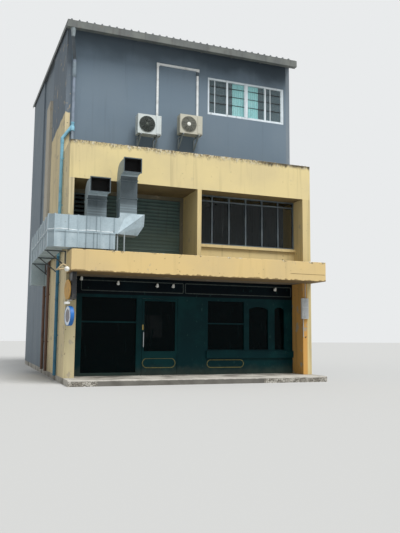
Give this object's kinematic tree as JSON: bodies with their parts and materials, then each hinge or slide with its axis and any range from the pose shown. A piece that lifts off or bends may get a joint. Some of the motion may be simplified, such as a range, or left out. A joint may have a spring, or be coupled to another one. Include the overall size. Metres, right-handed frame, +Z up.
{
  "type": "corner shop building",
  "caption": "Corner shop building with a dark green shopfront, yellow canopies, a grey top storey, roof extract ducts and a lean-to metal roof.",
  "frame": {"origin": "Middle of the building's plan, on the level ground under the ground slab.", "axes": "+Z is up. The shopfront faces -Y. +X runs along the front to the party wall on the right."},
  "size_m": [7.544, 12.15, 11.1138],
  "materials": {
    "bracket_steel": "painted steel",
    "casing_white": "off white enamel",
    "concrete": "pale worn concrete",
    "curtain_teal": "thin woven cloth",
    "fan_plastic": "dark grey moulding",
    "frame_white": "white powder coat",
    "galvanised": "zinc spangle",
    "gutter_grey": "weathered grey",
    "handle_steel": "satin",
    "louvre_grey": "dull grey green",
    "pipe_brown": "brown pipe",
    "pipe_teal": "blue green pipe",
    "render_beige": "peeling painted render",
    "render_grey": "matte painted render",
    "render_yellow": "matte painted render, weathered",
    "roof_metal": "weathered coated sheet",
    "sign_black": "near black satin paint",
    "sign_faces": "translucent face",
    "timber_green": "dark green gloss paint",
    "trunk_white": "white moulding",
    "window_glass": "dark clear glass"
  },
  "bodies": {
    "building": {"ground_slab": "concrete", "floor_slabs": "concrete", "canopy": "render_yellow", "sunshade": "render_yellow", "left_wall_front": "render_yellow", "left_wall_rear": "render_grey", "party_wall": "render_grey", "rear_wall": "render_grey", "rear_window_frames": "frame_white", "upper_window_glass": "window_glass", "upper_front_wall": "render_grey", "top_window_frame": "frame_white", "top_curtains": "curtain_teal", "recess_wall": "render_yellow", "louvre_window": "louvre_grey", "shutter_sheet": "louvre_grey", "bay_sill_wall": "render_yellow", "bay_window_frame": "frame_white", "ground_piers": "render_beige", "fins": "render_yellow", "rafter_ends": "bracket_steel", "roof_sheet": "roof_metal", "gutter": "gutter_grey", "sign_board": "sign_black", "shop_window_frame": "timber_green", "shopfront_glass": "window_glass", "door_frame": "timber_green", "middle_panel": "timber_green", "stall_riser": "timber_green", "window_sill": "timber_green", "right_window_frame": "timber_green", "condenser_casings": "casing_white", "condenser_brackets": "bracket_steel", "duct_run": "galvanised", "duct_drop": "galvanised", "duct_hopper": "galvanised", "exhaust_stacks": "galvanised", "downpipe": "pipe_teal", "meter_box": "casing_white", "soil_pipes": "pipe_brown", "side_shaft": "render_beige", "duct_supports": "bracket_steel", "sign_lamps": "casing_white", "blade_signs": "sign_faces", "cable_trunking": "trunk_white"},
    "shop_door": {"shop_door": "timber_green", "shop_door_glass": "window_glass", "door_handle": "handle_steel"},
    "fan_left": {"condenser_fan_left": "fan_plastic"},
    "fan_right": {"condenser_fan_right": "fan_plastic"}
  },
  "joints": [
    {"name": "door_hinge", "type": "hinge", "parent": "building", "child": "shop_door", "pos_m": [-0.349, -4.892, 1.18], "axis": [0, 0, 1], "range_deg": [0, 90]},
    {"name": "fan_left_spin", "type": "hinge", "parent": "building", "child": "fan_left", "pos_m": [-1.285, -4.69, 7.13], "axis": [0, 1, 0], "continuous": true},
    {"name": "fan_right_spin", "type": "hinge", "parent": "building", "child": "fan_right", "pos_m": [-0.04, -4.69, 7.29], "axis": [0, 1, 0], "continuous": true}
  ]
}
